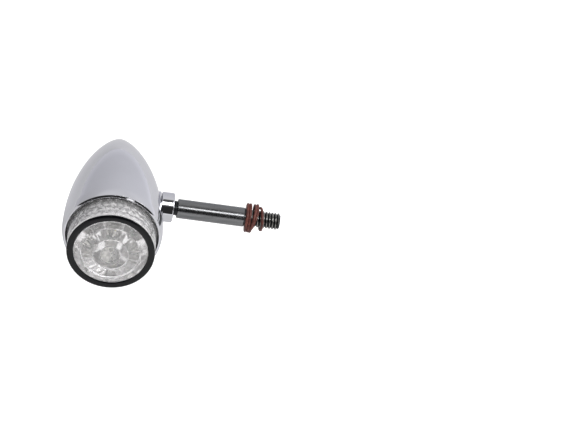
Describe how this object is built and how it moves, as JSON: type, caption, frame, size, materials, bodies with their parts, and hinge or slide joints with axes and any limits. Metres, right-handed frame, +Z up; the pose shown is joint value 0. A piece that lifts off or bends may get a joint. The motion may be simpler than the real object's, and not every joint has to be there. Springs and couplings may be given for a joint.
{
  "type": "motorcycle turn signal",
  "caption": "Chromed bullet turn signal with a clear domed LED lens, a black trim ring, and a threaded side stem with a lock nut and two leads.",
  "frame": {"origin": "centre of the stem's outboard shoulder, where the outer thread leaves the shank", "axes": "+X outboard along the stem towards its free threaded end, the lens faces -Y, the bullet's nose points to +Y, +Z up"},
  "size_m": [0.1007, 0.0948, 0.0464],
  "materials": {
    "chrome": "polished chrome plate on aluminium",
    "chrome_steel": "polished chrome plate on steel",
    "bright_steel": "fine turned, bright",
    "clear_lens": "clear polished polycarbonate",
    "black_trim": "gloss black",
    "black_rubber": "matt",
    "silvered_plastic": "metallised mirror coat",
    "led_clear": "water-clear epoxy",
    "board": "solder-mask green glass laminate",
    "resistor_body": "tan lacquer",
    "zinc_steel": "zinc plate",
    "lead_insulation": "satin reddish-brown insulation"
  },
  "bodies": {
    "stem_assembly": {"stem": "bright_steel", "power_lead_stem": "lead_insulation", "ground_lead_stem": "lead_insulation", "lead_coil_tight": "lead_insulation", "lead_coil_loose": "lead_insulation"},
    "head": {"housing": "chrome", "lens": "clear_lens", "trim_ring": "black_trim", "lens_seal": "black_rubber", "reflector": "silvered_plastic", "led_board": "board", "lens_set_screw": "zinc_steel", "led_1": "led_clear", "led_2": "led_clear", "led_3": "led_clear", "led_4": "led_clear", "led_5": "led_clear", "led_6": "led_clear", "led_7": "led_clear", "resistor_1": "resistor_body", "resistor_2": "resistor_body", "resistor_3": "resistor_body", "board_screw_1": "zinc_steel", "board_screw_2": "zinc_steel", "power_lead_head": "lead_insulation", "ground_lead_head": "lead_insulation"},
    "nut": {"lock_nut": "chrome_steel"}
  },
  "joints": [
    {"name": "head_swivel", "type": "hinge", "parent": "stem_assembly", "child": "head", "pos_m": [-0.0509, 0, 0], "axis": [1, 0, 0], "range_deg": [-90, 90]},
    {"name": "lock_nut_turn", "type": "hinge", "parent": "stem_assembly", "child": "nut", "pos_m": [-0.0365, 0, 0], "axis": [1, 0, 0], "range_deg": [0, 360]}
  ]
}
